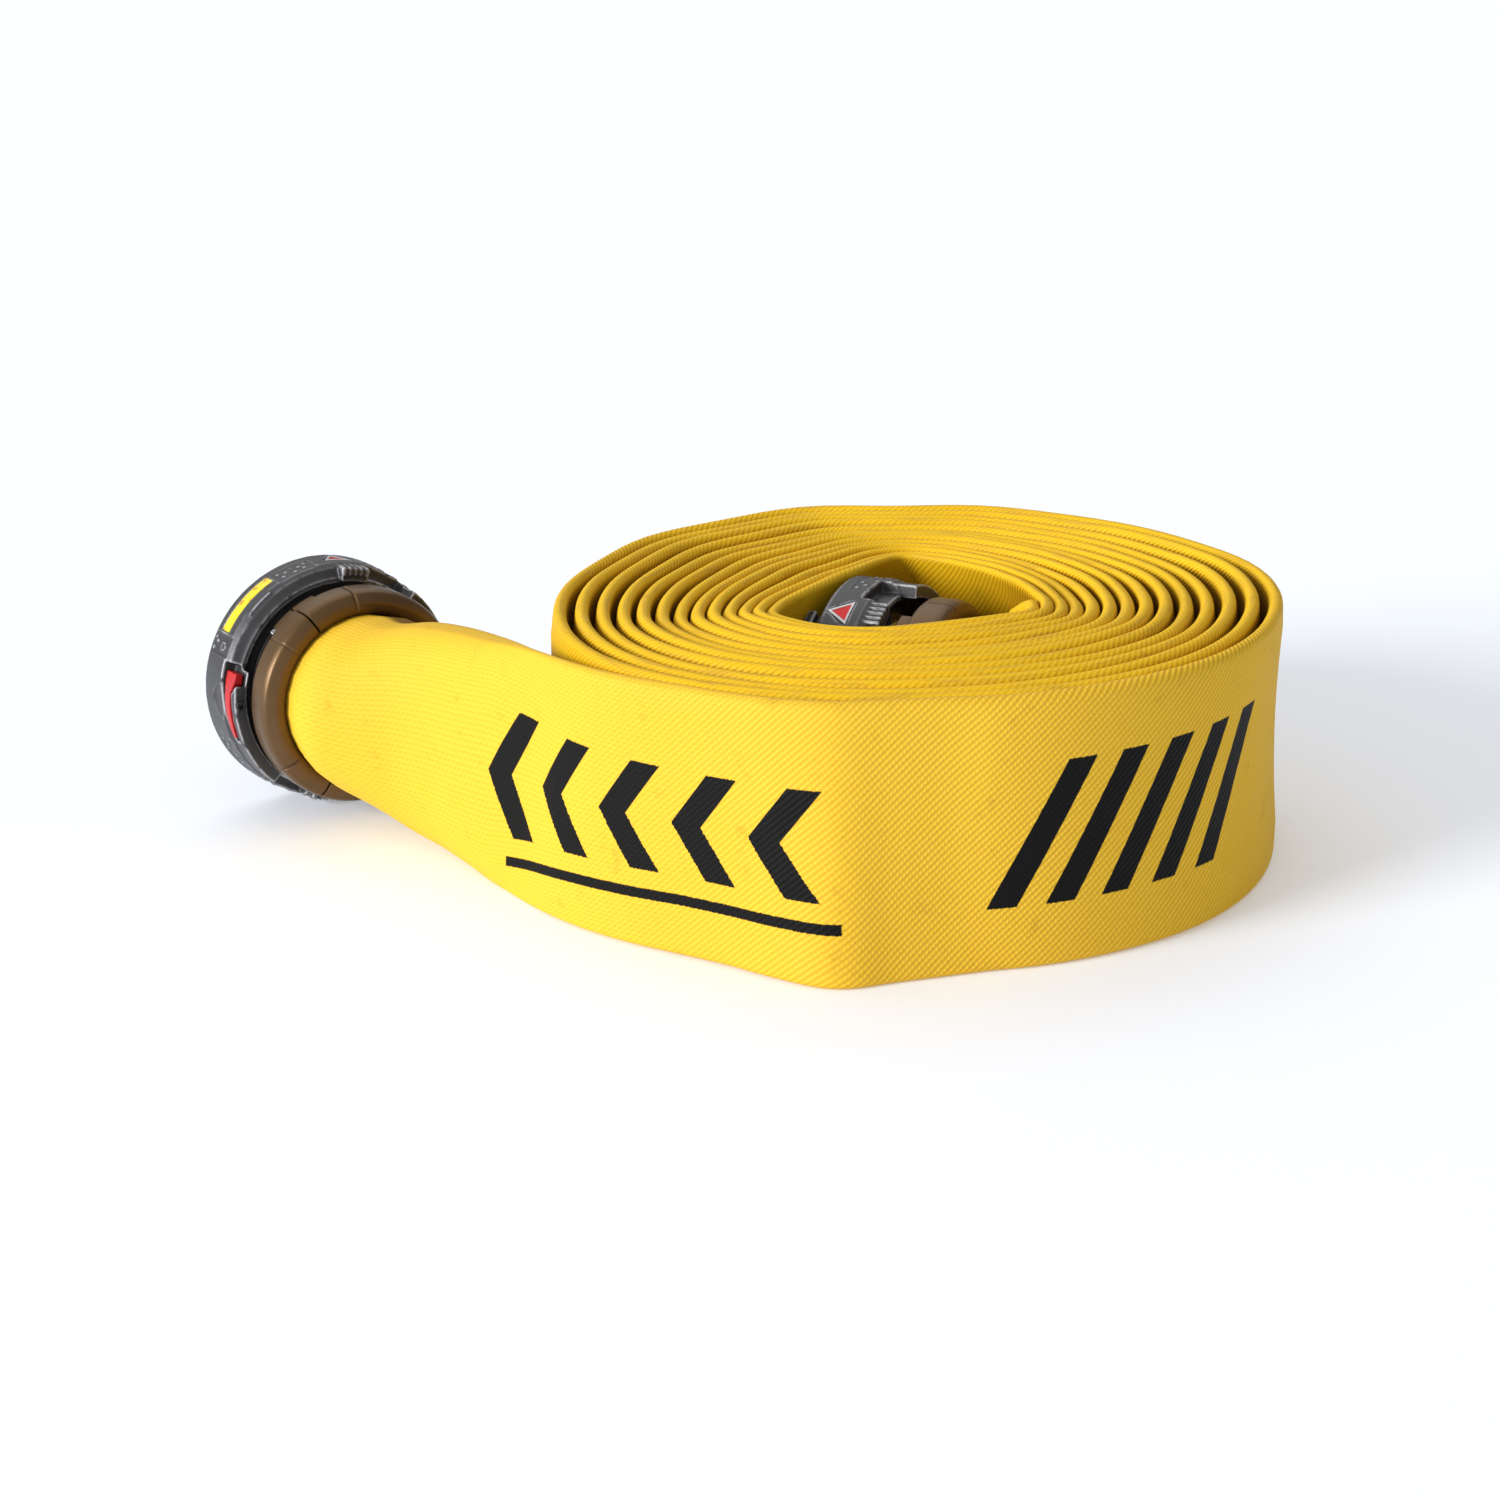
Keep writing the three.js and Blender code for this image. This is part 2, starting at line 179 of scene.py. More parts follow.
def spiral_radius(radii, turn, angle):
    """Radius of a turn's middle, between the innermost radii and the outermost."""
    share = turn / TURNS
    inner = loop_radius(radii, angle) * MM + FLAT_THICK
    outer = loop_radius(OUTER_RADII, angle) * MM - FOLD_RADIUS
    return inner + (outer - inner) * (TIGHTNESS * share + (1 - TIGHTNESS) * share * share)


def spiral_rows():
    """Rows of the roll's turns, from the innermost to where the tail begins."""
    rows = []
    for k in range(round(TURNS * STEPS_PER_TURN) + 1):
        turn = k / STEPS_PER_TURN
        angle = START_ANGLE - 360 * turn
        a = math.radians(angle)
        radius = spiral_radius(MIDDLE_RADII, turn, angle)
        edge_radius = spiral_radius(EDGE_RADII, turn, angle)
        pitch = spiral_radius(MIDDLE_RADII, turn + 1, angle) - radius
        edge_pitch = spiral_radius(EDGE_RADII, turn + 1, angle) - edge_radius
        sides = math.cos(a) ** 4                  # the turns part a little at the roll's two sides
        fold = min(0.48 * edge_pitch, FOLD_RADIUS + (0.6 - 1.45 * sides) * MM)
        # The outer turns are drawn in at the right, and turns stray a little and differ a
        # little in height.
        drawn_in = 5.5 * MM * max(0.0, math.cos(a + 0.3)) ** 4 * (turn / TURNS) ** 3
        settled = min(turn, TURNS - turn, 1.0)
        stray = settled * (0.45 + 0.5 * sides) * math.sin(1.31 * a + 2) * math.sin(0.617 * a)
        dip = 0.8 + 0.4 * math.sin(2.3 * a + 1) + 0.4 * math.sin(0.83 * a + 4)
        half = FLAT_HALF - dip * MM
        radius += stray * MM - drawn_in
        rows.append((ROLL_X + radius * math.cos(a), ROLL_Y + radius * math.sin(a), half + FLOOR_GAP,
                     half, 0.0, min(0.465 * pitch, TURN_THICK), fold, radius - edge_radius))
    return rows


def full_thickness(half):
    """Half thickness of the hose where it stands half this tall, at one girth."""
    return max(math.sqrt(max(2 * ROUND_RADIUS ** 2 - half ** 2, 0)), FLAT_THICK)


def route_rows(route):
    """Rows of a route of x, y, z, half height and lean, from the roll's middle."""
    rows = []
    for x, y, z, half, lean in route:
        rows.append((ROLL_X + x * MM, ROLL_Y + y * MM, z * MM, half * MM, lean * MM,
                     full_thickness(half * MM), FOLD_RADIUS, 0.0))
    return rows


def sleeve_rows(end):
    """Round rows on the shank, which swell a little past the collar."""
    rows = []
    for u, swell in ((30, 0), (40, 0), (55, 0), (70, 0), (78, 0.2), (86, 1.3), (98, 3)):
        x, y, z = FRAMES[end] @ Vector((0, 0, u * MM))
        radius = SLEEVE_RADIUS + swell * MM
        rows.append((x, y, z, radius, 0.0, radius, FOLD_RADIUS, 0.0))
    return rows


def smooth_rows(rows, first, last, step):
    """Rows at about every step along the smooth curve through rows[first] to rows[last]."""
    points = np.array(rows)
    out = []
    for k in range(first, last):
        count = max(1, round(float(np.linalg.norm(points[k + 1, :3] - points[k, :3])) / step))
        for n in range(count):
            out.append(catmull(*points[k - 1:k + 3], n / count))
    out.append(points[last])
    return out


def hose_rows():
    """The whole hose from the inner sleeve to the outer one."""
    spiral = spiral_rows()
    lead = sleeve_rows("inner") + route_rows(LEAD_ROUTE) + spiral[:2]
    tail = spiral[-2:] + route_rows(TAIL_ROUTE) + sleeve_rows("outer")[::-1]
    rows = smooth_rows(lead, 1, len(lead) - 2, LEAD_STEP)
    rows += [np.array(row) for row in spiral[1:-1]]
    rows += smooth_rows(tail, 1, len(tail) - 2, TAIL_STEP)
    return np.array(rows)


# ---- The hose's section ----

SIDE_STEPS = 12               # steps along each flat side
FOLD_STEPS = 8                # steps round each fold
RING = 2 * (SIDE_STEPS + FOLD_STEPS)
FOLD_FADE = 16 * MM           # over which a flat side eases into the fold
ROUND_HALF, SLAB_HALF = 57 * MM, 84 * MM      # half heights at which it is round and slab-sided
SLAB_POWER = 0.35
FLAT_FROM, FLAT_BLEND = 78 * MM, 4 * MM       # half height at which the section turns flat
POCKET = 30                   # rings that are hollow at each end


def section_shares():
    """Places round the girth, from the middle of the outer face upwards, as shares of it."""
    side = HOSE_WIDTH - 2 * FOLD_RADIUS
    fold = math.pi * FOLD_RADIUS
    lengths = ([side / SIDE_STEPS] * (SIDE_STEPS // 2) + [fold / FOLD_STEPS] * FOLD_STEPS
               + [side / SIDE_STEPS] * SIDE_STEPS + [fold / FOLD_STEPS] * FOLD_STEPS
               + [side / SIDE_STEPS] * (SIDE_STEPS // 2))
    shares = np.concatenate([[0], np.cumsum(lengths)]) / sum(lengths)
    return shares, sum(lengths)


def flat_section(half, thick, fold):
    """Flattened hose, whose sides ease from this half thickness to the radius of the folds."""
    reach = half - fold
    points = []
    for sign in (1, -1):
        for k in range(FOLD_STEPS + 1):
            turn = math.pi * k / FOLD_STEPS
            points.append((sign * fold * math.cos(turn), sign * (reach + fold * math.sin(turn))))
        for k in range(1, SIDE_STEPS):
            y = reach * (1 - 2 * k / SIDE_STEPS)
            edge = max(0.0, (abs(y) - (reach - FOLD_FADE)) / FOLD_FADE)
            points.append((-sign * (thick + (fold - thick) * edge * edge * (3 - 2 * edge)), sign * y))
    # The ring starts at the middle of the outer face.
    start = 2 * (FOLD_STEPS + 1) + 2 * (SIDE_STEPS - 1) - (SIDE_STEPS // 2 - 1) - 1
    return np.array(points[start:] + points[:start])


def full_section(half, thick, shares):
    """A section that goes from round at ROUND_HALF to slab-sided at SLAB_HALF."""
    angles = 2 * np.pi * shares[:-1]
    roundness = np.interp(half, (ROUND_HALF, SLAB_HALF), (1.0, SLAB_POWER))
    c = np.cos(angles)
    return np.stack([thick * np.sign(c) * np.abs(c) ** roundness, half * np.sin(angles)], 1)


def ring_points(rows, shares, inset=0.0):
    """Points of every ring, pulled in by inset for the inside of the wall."""
    gradient = np.gradient(rows[:, :2], axis=0)
    along = gradient / np.linalg.norm(gradient, axis=1)[:, None]
    out = np.stack([-along[:, 1], along[:, 0]], 1)
    rings = []
    for row, normal in zip(rows, out):
        x, y, z, half, lean, thick, fold, bow = row
        flatness = float(np.clip((half - FLAT_FROM) / FLAT_BLEND, 0, 1))
        section = full_section(half - inset, max(thick - inset, 0.4 * MM), shares)
        if flatness > 0 and not inset:
            section = section + flatness * (flat_section(half, thick, fold) - section)
        height = section[:, 1] / half
        across = section[:, 0] - lean * height - bow * height ** 2
        rings.append(np.stack(
            [x + normal[0] * across, y + normal[1] * across, z + section[:, 1]], 1))
    return rings


def build_hose():
    """The hose, its girth and its length; its UV map is in metres along and round it."""
    shares, girth = section_shares()
    rows = hose_rows()
    steps = np.linalg.norm(np.diff(rows[:, :3], axis=0), axis=1)
    place = np.concatenate([[0], np.cumsum(steps)])
    rings = ring_points(rows, shares)
    front = ring_points(rows[:POCKET], shares, inset=WALL)[::-1]
    back = ring_points(rows[-POCKET:], shares, inset=WALL)[::-1]
    rings = front + rings + back
    place = np.concatenate([place[:POCKET][::-1], place, place[-POCKET:][::-1]])
    vertices = np.concatenate(rings)
    faces = []
    coordinates = []
    for ring in range(len(rings) - 1):
        for k in range(RING):
            n = (k + 1) % RING
            a, b = ring * RING, (ring + 1) * RING
            faces.append((a + k, a + n, b + n, b + k))
            low_v, high_v = shares[k] * girth, shares[k + 1] * girth
            coordinates += [(place[ring], low_v), (place[ring], high_v),
                            (place[ring + 1], high_v), (place[ring + 1], low_v)]
    last = (len(rings) - 1) * RING
    faces.append(tuple(range(RING))[::-1])
    faces.append(tuple(last + k for k in range(RING)))
    coordinates += [(place[0], 0)] * RING + [(place[-1], 0)] * RING
    hose = make_mesh_object("hose", vertices, faces)
    layer = hose.data.uv_layers.new(name="hose_uv")
    layer.data.foreach_set("uv", np.array(coordinates, dtype=np.float32).ravel())
    return hose, girth, float(place.max())


hose, hose_girth, hose_length = build_hose()
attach(hose, "root")
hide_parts("hose_roll", "hose_tail", "hose_lead", "outer_hose_end", "inner_hose_end")


# ---- Shapes in a coupling's frame, in millimetres: clock angle, radius and u along the axis ----

LEVER_ANGLE, LEVER_RADIUS = 88.5, 77          # where the first lever pivots
EAR_END = 46
RIM_RADIUS = 82.5


def polar(angle, radius, u):
    a = math.radians(angle)
    return (radius * math.cos(a), radius * math.sin(a), u)


def rounded(outline, radius, bits=3):
    """The closed outline with each corner turned into a small arc."""
    points = []
    count = len(outline)
    for k in range(count):
        corner = Vector(outline[k])
        before = Vector(outline[k - 1]) - corner
        after = Vector(outline[(k + 1) % count]) - corner
        reach = min(radius, 0.45 * before.length, 0.45 * after.length)
        first = corner + before.normalized() * reach
        last = corner + after.normalized() * reach
        for n in range(bits + 1):
            f = n / bits
            points.append(tuple((1 - f) ** 2 * first + 2 * f * (1 - f) * corner + f * f * last))
    return points


def skin(rings, closed):
    """Vertices and faces over rings of points; an open run of rings gets end caps."""
    size = len(rings[0])
    vertices = [point for ring in rings for point in ring]
    faces = []
    for ring in range(len(rings) if closed else len(rings) - 1):
        a, b = ring * size, (ring + 1) % len(rings) * size
        faces += [(a + k, a + (k + 1) % size, b + (k + 1) % size, b + k) for k in range(size)]
    if not closed:
        last = (len(rings) - 1) * size
        faces += [tuple(range(size))[::-1], tuple(range(last, last + size))]
    return vertices, faces


def lathe(outline, steps=144):
    return skin([[polar(360 * k / steps, r, u) for r, u in outline] for k in range(steps)], True)


def arc_lathe(outline, first, last, step=2.0, chamfer=0.0):
    """Part of a turned ring, its two ends chamfered by shrinking their outlines."""
    count = max(1, math.ceil((last - first) / step))
    middle = sum((Vector(point) for point in outline), Vector((0, 0))) / len(outline)
    stations = [(first + (last - first) * k / count, 0.0) for k in range(count + 1)]
    if chamfer:
        inset = math.degrees(chamfer / RIM_RADIUS)
        stations = [(first, chamfer), (first + inset, 0.0), *stations[1:-1],
                    (last - inset, 0.0), (last, chamfer)]
    rings = []
    for angle, shrink in stations:
        ring = []
        for point in outline:
            inward = middle - Vector(point)
            r, u = Vector(point) + inward.normalized() * shrink
            ring.append(polar(angle, r, u))
        rings.append(ring)
    return skin(rings, False)


def arc_bar(stations, step=1.5):
    """A bar bent round the axis; each station is clock angle, r0, r1, u0, u1."""
    rings = []
    for here, ahead in zip(stations, stations[1:]):
        count = max(1, math.ceil((ahead[0] - here[0]) / step))
        for k in range(count + (ahead is stations[-1])):
            angle, r0, r1, u0, u1 = (p + (q - p) * k / count for p, q in zip(here, ahead))
            rings.append([polar(angle, r, u) for r, u in ((r0, u0), (r0, u1), (r1, u1), (r1, u0))])
    return skin(rings, False)


def even_bar(first, last, r0, r1, u0, u1):
    return arc_bar([(first, r0, r1, u0, u1), (last, r0, r1, u0, u1)])


def pin(steps, sides=32, flat_from=None):
    """A solid pin along z from (radius, z) steps; steps from flat_from on are six-sided."""
    rings = []
    for number, (radius, z) in enumerate(steps):
        ring = []
        for k in range(sides):
            turn = 2 * math.pi * k / sides
            reach = radius
            if flat_from is not None and number >= flat_from:
                reach *= math.cos(math.pi / 6) / math.cos(turn % (math.pi / 3) - math.pi / 6)
            ring.append((reach * math.cos(turn), reach * math.sin(turn), z))
        rings.append(ring)
    return skin(rings, False)


def moved(shape, change):
    vertices, faces = shape
    return [tuple(change(*point)) for point in vertices], faces


def out_to(shape, angle, radius):
    """Moves a shape made round the axis out to a clock angle and radius."""
    x, y, _ = polar(angle, radius, 0)
    return moved(shape, lambda a, b, c: (a + x, b + y, c))


def standing(shape, angle, u):
    """Stands a shape made along z out along the radius at a clock angle and u."""
    c, s = math.cos(math.radians(angle)), math.sin(math.radians(angle))
    return moved(shape, lambda a, b, r: (r * c - b * s, r * s + b * c, u + a))


def together(*shapes):
    vertices, faces = [], []
    for more_vertices, more_faces in shapes:
        start = len(vertices)
        vertices += more_vertices
        faces += [tuple(k + start for k in face) for face in more_faces]
    return vertices, faces


def mesh_of(name, shape, smooth_angle=35):
    """A mesh in metres from a shape in millimetres, smooth up to an angle in degrees."""
    vertices, faces = shape
    mesh = bpy.data.meshes.new(name)
    mesh.from_pydata([tuple(MM * value for value in point) for point in vertices], [], faces)
    work = bmesh.new()
    work.from_mesh(mesh)
    bmesh.ops.recalc_face_normals(work, faces=work.faces)
    work.to_mesh(mesh)
    work.free()
    mesh.polygons.foreach_set("use_smooth", [True] * len(mesh.polygons))
    mesh.set_sharp_from_angle(angle=math.radians(smooth_angle))
    return mesh


def settled_mesh(piece):
    """A new mesh: the piece's with its modifiers applied."""
    graph = bpy.context.evaluated_depsgraph_get()
    return bpy.data.meshes.new_from_object(piece.evaluated_get(graph))


def carved(name, base, joins=(), cuts=()):
    """The mesh of a base shape with other shapes joined to it and cut out of it."""
    piece = linked(name, mesh_of(name, base))
    for operation, shapes in (("UNION", joins), ("DIFFERENCE", cuts)):
        for shape in shapes:
            tool = linked("tool", mesh_of("tool", shape))
            modifier = piece.modifiers.new("carve", "BOOLEAN")
            modifier.operation = operation
            modifier.solver = "MANIFOLD"
            modifier.object = tool
            mesh = settled_mesh(piece)
            piece.modifiers.clear()
            piece.data = mesh
            bpy.data.objects.remove(tool)
    mesh = piece.data
    bpy.data.objects.remove(piece)
    mesh.name = name
    mesh.materials.clear()
    return mesh


def cast_mesh(name, mesh, voxel, rounds):
    """The mesh with every edge softened, as a casting's are; voxel is in millimetres."""
    piece = linked(name, mesh)
    remesh = piece.modifiers.new("remesh", "REMESH")
    remesh.mode = "VOXEL"
    remesh.voxel_size = voxel * MM
    smooth = piece.modifiers.new("smooth", "SMOOTH")
    smooth.factor = 0.5
    smooth.iterations = rounds
    soft = settled_mesh(piece)
    bpy.data.objects.remove(piece)
    soft.name = name
    soft.polygons.foreach_set("use_smooth", [True] * len(soft.polygons))
    return soft


# ---- Coupling meshes, each made once and used on both ends ----

BOTH_SIDES = (0, 180)


def lever_pocket(turn):
    """Open at the lever's thumb end, then closing in along a slanting rear edge."""
    return arc_bar([
        (69.5 + turn, 73.2, 90, 27.5, 50), (76 + turn, 73.2, 90, 27.5, 50),
        (83.3 + turn, 73.2, 90, 28, 39.3), (92 + turn, 73.2, 90, 29.5, 39.3),
        (100 + turn, 73.2, 90, 31.5, 39.8), (109 + turn, 73.2, 90, 33.5, 39.8),
    ])


# Shallow panels in the rim, and the pips and bosses that stand in them: none of it is lettering.
PANELS = ((4, 24, 11), (-40, -27, 9), (58.5, 68.5, 3), (109, 137, 8))
PIPS = (
    (7, 15), (10.5, 18), (14, 15), (17.5, 18), (21, 15), (9, 23), (14, 24), (20, 23),
    (-30, 13), (-33.5, 17), (-37, 13), (61, 6), (62.5, 9), (66, 6), (111, 12), (114, 16),
    (117, 12), (128, 14), (131, 19), (134, 14),
)
ROUND_BOSSES = ((122, 21, 4.6), (64, 19, 3.2))


def head_decoration(turn):
    shapes = [
        even_bar(31 + turn, 45 + turn, 79, 82.4, 29, 30.6),
        even_bar(105 + turn, 106.3 + turn, 80, 82.7, 14, 24),
    ]
    for angle, u in PIPS:
        shapes.append(standing(pin([(1.5, 76.5), (1.5, 82.3), (1.1, 82.7)], 14), angle + turn, u))
    for angle, u, radius in ROUND_BOSSES:
        ring = [(radius - 1.2, 78), (radius - 1.2, 82.6), (radius, 82.6), (radius, 78)]
        shapes.append(standing(lathe(ring, 28), angle + turn, u))
    for rib in range(5):
        first = -18.9 + 3 * rib + turn
        shapes.append(even_bar(first, first + 1.2, 76, 81.8, 26.5, 40.8))
    return shapes


def head_mesh():
    outline = [
        (60, 0), (60, 7), (76, 7), (76, 19), (56.5, 19), (56.5, 27), (64, 27), (70, 33),
        (70.3, 36), (73.8, 36), (75, 34.6), (80, 32), (RIM_RADIUS, 27), (RIM_RADIUS, 2.5), (80.5, 0),
    ]
    joins, cuts = [], []
    for turn in BOTH_SIDES:
        cuts.append(even_bar(-44.5 + turn, -21 + turn, 73.8, 90, 22, 40))
        cuts.append(even_bar(30 + turn, 62 + turn, 62, 74.5, -1, 8))
        cuts.append(even_bar(60 + turn, 112 + turn, 62, 69, -1, 8))
        cuts.append(lever_pocket(turn))
        cuts.append(out_to(pin([(2.4, 24), (2.4, 60)]), LEVER_ANGLE + turn, LEVER_RADIUS))
        cuts.append(even_bar(24.6 + turn, 57.4 + turn, 81.4, 90, 8.7, 19.3))
        cuts.append(lock_mark_bar(turn, 81.2, 90, 0.5))
        cuts.append(standing(pin([(11.5, 81.4), (12.5, 90)], 48), 89 + turn, 27))
        cuts += [even_bar(first + turn, last + turn, 81.8, 90, u, 28) for first, last, u in PANELS]
        joins.append(even_bar(71 + turn, 135 + turn, 71.8, 80.5, 26, EAR_END))
        joins.append(even_bar(-20 + turn, -5 + turn, 71.8, 80.5, 26, 40))
        joins.append(even_bar(-16 + turn, 16 + turn, 62.5, 68, -14, 3))
        joins.append(even_bar(-16 + turn, 16 + turn, 62.5, 73.5, -14, -8))
    # The cuts come before the cast details, and the claws and ears before the cuts.
    mesh = carved("head", lathe(outline, 180), joins, cuts)
    work = bmesh.new()
    work.from_mesh(mesh)
    for turn in BOTH_SIDES:
        work.from_mesh(mesh_of("details", together(*head_decoration(turn))))
    work.to_mesh(mesh)
    work.free()
    return cast_mesh("head", mesh, 0.85, 3)


def lock_mark_bar(turn, r0, r1, margin):
    return arc_bar([
        (-17 - margin + turn, r0, r1, 17.5 - margin, 19.5 + margin),
        (-10 + turn, r0, r1, 4 - margin, 19.5 + margin),
        (-3 + margin + turn, r0, r1, 17.5 - margin, 19.5 + margin),
    ], 0.5)


def lock_mark_mesh():
    """A red plate with a raised bare border round it."""
    corners = [(-17.2, 19.4), (-10, 3.9), (-2.8, 19.4)]
    middle = (-10, 14.6)
    rings = []
    for share, radius in ((1, 81.5), (1, 82.4), (0.76, 82.6), (0.72, 82.2)):
        ring = []
        for k in range(24):
            side, f = divmod(k / 8, 1)
            a, b = corners[int(side)], corners[(int(side) + 1) % 3]
            point = [a[n] + (b[n] - a[n]) * f for n in (0, 1)]
            angle, u = (middle[n] + (point[n] - middle[n]) * share for n in (0, 1))
            ring.append(polar(angle, radius, u))
        rings.append(ring)
    mesh = mesh_of("lock_mark", skin(rings, False))
    for face in mesh.polygons:
        face.material_index = 0 if len(face.vertices) > 4 else 1     # only the end caps are red
    return mesh


def lever_mesh():
    bar = arc_bar([
        (73.5, 74.6, 79.6, 29, 42.8), (78, 74.3, 80.2, 29.3, 42.8), (83.5, 74, 80.6, 30.2, 38.2),
        (92, 74, 81.2, 31, 38.3), (99, 75.2, 81.4, 32.8, 38.8), (106, 76.6, 81.7, 34.8, 38.9),
    ])
    hole = out_to(pin([(2.5, 24), (2.5, 48)]), LEVER_ANGLE, LEVER_RADIUS)
    return cast_mesh("lever", carved("lever", bar, cuts=[hole]), 0.4, 3)


def lever_screw_mesh():
    steps = [(1.8, 24.3), (2.1, 24.7), (2.1, 46.3), (3.4, 46.3), (3.4, 48.4), (3.05, 48.8),
             (1.7, 48.8), (1.65, 48.7), (1.65, 46.9)]
    return mesh_of("lever_screw", out_to(pin(steps, 36, 7), LEVER_ANGLE, LEVER_RADIUS))


def spring_mesh():
    """A round-wire coil round the lever's pivot, with its two ends led off straight."""
    turns, sides, radius, wire, low, high = 5, 8, 2.85, 0.3, 40.4, 42.8
    steps = 24 * turns
    rings = []
    for k in range(-6, steps + 7):
        f = min(max(k / steps, 0), 1)
        turn = 2 * math.pi * turns * f
        outward = Vector((math.cos(turn), math.sin(turn), 0))
        along = Vector((-outward.y, outward.x, 0))
        spare = k if k < 0 else max(k - steps, 0)
        centre = outward * radius + along * (spare * 0.2) + Vector((0, 0, low + (high - low) * f))
        ring = []
        for n in range(sides):
            a = 2 * math.pi * n / sides
            ring.append(tuple(centre + outward * (wire * math.cos(a))
                              + Vector((0, 0, wire * math.sin(a)))))
        rings.append(ring)
    coil = out_to(skin(rings, False), LEVER_ANGLE, LEVER_RADIUS)
    return mesh_of("lever_spring", coil, smooth_angle=60)


def shank_mesh():
    outline = [
        (48, 96), (48, 6.5), (59.3, 6.5), (59.3, 15.5), (56, 15.5), (56, 20.7), (53.3, 20.7),
        (53.3, 24.3), (56, 24.3), (56, 27.4), (53.3, 27.4), (53.3, 30.2), (56, 30.2), (56, 33), (50, 35),
    ]
    for ridge in (44, 60, 76):
        outline += [(50, ridge), (51, ridge + 8)]
    outline.append((50, 96))
    return mesh_of("shank", lathe(rounded(outline, 0.5, 2)), smooth_angle=28)


COLLAR_GROOVES = (20, 92)       # casting lines, measured from each segment's first split
GROOVE_OUTLINE = (
    (70.3, 54), (72.8, 57), (72.8, 71), (71.3, 75), (65.8, 77.9), (61, 77.9), (61, 84), (72, 84),
    (82, 74), (82, 50), (70.3, 50),
)


def collar_mesh():
    """One segment of the collar, from the first split to the next."""
    outline = rounded([
        (57.5, 53.5), (57.5, 76.5), (60.5, 78.5), (66, 78.5), (71.8, 75.5), (73.4, 71), (73.4, 56.5),
        (71, 53.5),
    ], 1.8, 4)
    boss = rounded([(60, 46.6), (60, 55), (71, 55), (71, 46.6)], 1.2)
    bosses = [arc_lathe(boss, first, first + 13.5, chamfer=0.5) for first in (0.5, 106)]
    cuts = [arc_lathe(GROOVE_OUTLINE, angle - 0.3, angle + 0.3, 0.2) for angle in COLLAR_GROOVES]
    cuts += [moved(bolt_line([(2.8, -30), (2.8, 30)]), turned_by(angle)) for angle in (0, 120)]
    return carved("collar", arc_lathe(outline, 0.5, 119.5, chamfer=0.7), bosses, cuts)


def turned_by(angle):
    c, s = math.cos(math.radians(angle)), math.sin(math.radians(angle))
    return lambda x, y, z: (x * c - y * s, x * s + y * c, z)


def bolt_line(steps, **more):
    """A pin across the first collar split, square to the radius there."""
    return moved(pin(steps, **more), lambda x, y, z: (x + 66, z, 50 - y))


def bolt_mesh():
    steps = [(2.1, -15.5), (2.5, -15), (2.5, 17.9), (3.2, 17.9), (3.2, 20.6), (2.9, 21), (1.5, 21),
             (1.45, 20.9), (1.45, 19.2)]
    return mesh_of("collar_bolt", bolt_line(steps, sides=36, flat_from=7))


def ring_mesh(name, outline, radius, first=0.0, last=360.0):
    edge = rounded(outline, radius)
    if last - first < 360:
        return mesh_of(name, arc_lathe(edge, first, last))
    return mesh_of(name, lathe(edge))


def round_ring(radius, wire, u):
    return [(radius + wire * math.cos(a), u + wire * math.sin(a))
            for a in (2 * math.pi * n / 14 for n in range(14))]


# ---- Materials ----

class Field:
    """A number that varies over a surface, held as a shader socket."""

    def __init__(self, tree, socket):
        self.tree, self.socket = tree, socket

    def math(self, kind, *others):
        node = self.tree.nodes.new("ShaderNodeMath")
        node.operation = kind
        for place, value in enumerate((self, *others)):
            if isinstance(value, Field):
                self.tree.links.new(value.socket, node.inputs[place])
            else:
                node.inputs[place].default_value = value
        return Field(self.tree, node.outputs[0])

    def __add__(self, other):
        return self.math("ADD", other)

    def __sub__(self, other):
        return self.math("SUBTRACT", other)

    def __mul__(self, other):
        return self.math("MULTIPLY", other)

    def wave(self, pitch):
        """Ribs of this pitch, from 0 in the valleys to 1 on the ribs."""
        return self.__mul__(2 * math.pi / pitch).math("SINE") * 0.5 + 0.5

    def smooth(self, low, high):
        """0 below low, 1 above high, and smooth between; low may be the greater."""
        node = self.tree.nodes.new("ShaderNodeMapRange")
        node.interpolation_type = "SMOOTHSTEP"
        self.tree.links.new(self.socket, node.inputs["Value"])
        node.inputs["From Min"].default_value = low
        node.inputs["From Max"].default_value = high
        return Field(self.tree, node.outputs[0])

    def within(self, middle, half, edge):
        """1 where the value is within half of middle, with a soft edge."""
        return (self - middle).math("ABSOLUTE").smooth(half + edge, half - edge)


def noise(tree, vector, scale, detail=2.0, roughness=0.5, stretch=None):
    if stretch:
        mapping = tree.nodes.new("ShaderNodeMapping")
        mapping.inputs["Scale"].default_value = stretch
        tree.links.new(vector, mapping.inputs["Vector"])
        vector = mapping.outputs[0]
    node = tree.nodes.new("ShaderNodeTexNoise")
    node.inputs["Scale"].default_value = scale
    node.inputs["Detail"].default_value = detail
    node.inputs["Roughness"].default_value = roughness
    tree.links.new(vector, node.inputs["Vector"])
    return Field(tree, node.outputs["Fac"])


def mixed(tree, field, low, high):
    """Colour that goes from low to high with the field; each is a colour or a socket."""
    node = tree.nodes.new("ShaderNodeMix")
    node.data_type = "RGBA"
    factor, a, b = node.inputs[0], node.inputs[6], node.inputs[7]
    tree.links.new(field.socket, factor)
    for socket, colour in ((a, low), (b, high)):
        if isinstance(colour, bpy.types.NodeSocket):
            tree.links.new(colour, socket)
        else:
            socket.default_value = (*colour, 1)
    return node.outputs[2]


